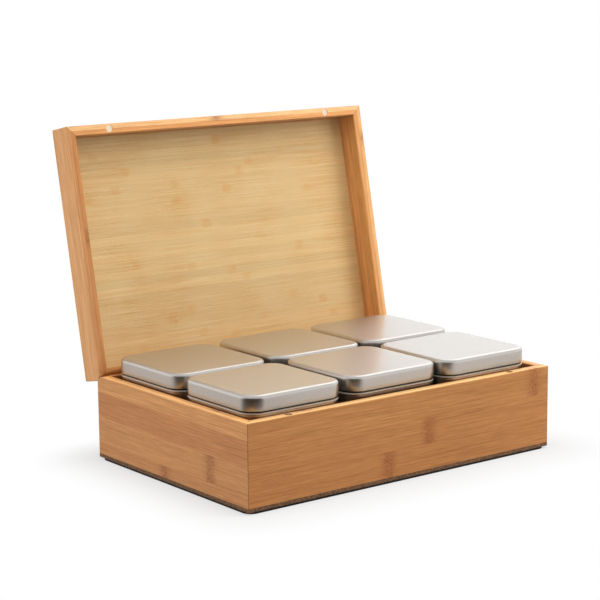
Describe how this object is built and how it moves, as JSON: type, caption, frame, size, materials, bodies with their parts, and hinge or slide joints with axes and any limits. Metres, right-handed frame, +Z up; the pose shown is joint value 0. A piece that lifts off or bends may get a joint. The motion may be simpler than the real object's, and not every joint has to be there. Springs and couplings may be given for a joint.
{
  "type": "tea storage box",
  "caption": "Bamboo tea box: a mitred base on a non-slip mat, a hinged tray lid held by magnets, and square slip-lid tins for tea that lift out.",
  "frame": {"origin": "centre of the underside of the mat, on which the box stands", "axes": "+X along the front to the right, +Y to the hinged back, +Z up"},
  "size_m": [0.31, 0.2706, 0.2723],
  "materials": {
    "carbonised_bamboo": "satin",
    "natural_bamboo": "satin",
    "bottom_board": "matte",
    "non_slip_mat": "matte",
    "magnet": "satin",
    "hinge_brass": "satin",
    "screw_brass": "satin",
    "tinplate": "satin"
  },
  "bodies": {
    "base": {"base_back_wall": "carbonised_bamboo", "base_bottom_panel": "bottom_board", "base_front_wall": "carbonised_bamboo", "base_left_wall": "carbonised_bamboo", "base_magnets": "magnet", "base_mat": "non_slip_mat", "base_right_wall": "carbonised_bamboo", "hinge_base_screws": "screw_brass", "hinge_left_base_leaf": "hinge_brass", "hinge_left_pin": "hinge_brass", "hinge_right_base_leaf": "hinge_brass", "hinge_right_pin": "hinge_brass"},
    "lid": {"hinge_left_lid_leaf": "hinge_brass", "hinge_lid_screws": "screw_brass", "hinge_right_lid_leaf": "hinge_brass", "lid_back_rail": "carbonised_bamboo", "lid_front_rail": "carbonised_bamboo", "lid_left_rail": "carbonised_bamboo", "lid_magnets": "magnet", "lid_panel": "natural_bamboo", "lid_right_rail": "carbonised_bamboo"},
    "tin_front_left": {"tin_front_left_body": "tinplate", "tin_front_left_bottom": "tinplate"},
    "tin_front_left_cover": {"tin_front_left_lid": "tinplate"},
    "tin_front_middle": {"tin_front_middle_body": "tinplate", "tin_front_middle_bottom": "tinplate"},
    "tin_front_middle_cover": {"tin_front_middle_lid": "tinplate"},
    "tin_front_right": {"tin_front_right_body": "tinplate", "tin_front_right_bottom": "tinplate"},
    "tin_front_right_cover": {"tin_front_right_lid": "tinplate"},
    "tin_rear_left": {"tin_rear_left_body": "tinplate", "tin_rear_left_bottom": "tinplate"},
    "tin_rear_left_cover": {"tin_rear_left_lid": "tinplate"},
    "tin_rear_middle": {"tin_rear_middle_body": "tinplate", "tin_rear_middle_bottom": "tinplate"},
    "tin_rear_middle_cover": {"tin_rear_middle_lid": "tinplate"},
    "tin_rear_right": {"tin_rear_right_body": "tinplate", "tin_rear_right_bottom": "tinplate"},
    "tin_rear_right_cover": {"tin_rear_right_lid": "tinplate"}
  },
  "joints": [
    {"name": "lid_hinge", "type": "hinge", "parent": "base", "child": "lid", "pos_m": [0, 0.10113, 0.07045], "axis": [-1, 0, 0], "range_deg": [-101.5, 0]},
    {"name": "tin_front_left_lift", "type": "slide", "parent": "base", "child": "tin_front_left", "axis": [0, 0, 1], "range_m": [0, 0.075]},
    {"name": "tin_front_middle_lift", "type": "slide", "parent": "base", "child": "tin_front_middle", "axis": [0, 0, 1], "range_m": [0, 0.075]},
    {"name": "tin_front_right_lift", "type": "slide", "parent": "base", "child": "tin_front_right", "axis": [0, 0, 1], "range_m": [0, 0.075]},
    {"name": "tin_rear_left_lift", "type": "slide", "parent": "base", "child": "tin_rear_left", "axis": [0, 0, 1], "range_m": [0, 0.075]},
    {"name": "tin_rear_middle_lift", "type": "slide", "parent": "base", "child": "tin_rear_middle", "axis": [0, 0, 1], "range_m": [0, 0.075]},
    {"name": "tin_rear_right_lift", "type": "slide", "parent": "base", "child": "tin_rear_right", "axis": [0, 0, 1], "range_m": [0, 0.075]},
    {"name": "tin_front_left_cover_lift", "type": "slide", "parent": "tin_front_left", "child": "tin_front_left_cover", "axis": [0, 0, 1], "range_m": [0, 0.03]},
    {"name": "tin_front_middle_cover_lift", "type": "slide", "parent": "tin_front_middle", "child": "tin_front_middle_cover", "axis": [0, 0, 1], "range_m": [0, 0.03]},
    {"name": "tin_front_right_cover_lift", "type": "slide", "parent": "tin_front_right", "child": "tin_front_right_cover", "axis": [0, 0, 1], "range_m": [0, 0.03]},
    {"name": "tin_rear_left_cover_lift", "type": "slide", "parent": "tin_rear_left", "child": "tin_rear_left_cover", "axis": [0, 0, 1], "range_m": [0, 0.03]},
    {"name": "tin_rear_middle_cover_lift", "type": "slide", "parent": "tin_rear_middle", "child": "tin_rear_middle_cover", "axis": [0, 0, 1], "range_m": [0, 0.03]},
    {"name": "tin_rear_right_cover_lift", "type": "slide", "parent": "tin_rear_right", "child": "tin_rear_right_cover", "axis": [0, 0, 1], "range_m": [0, 0.03]}
  ]
}
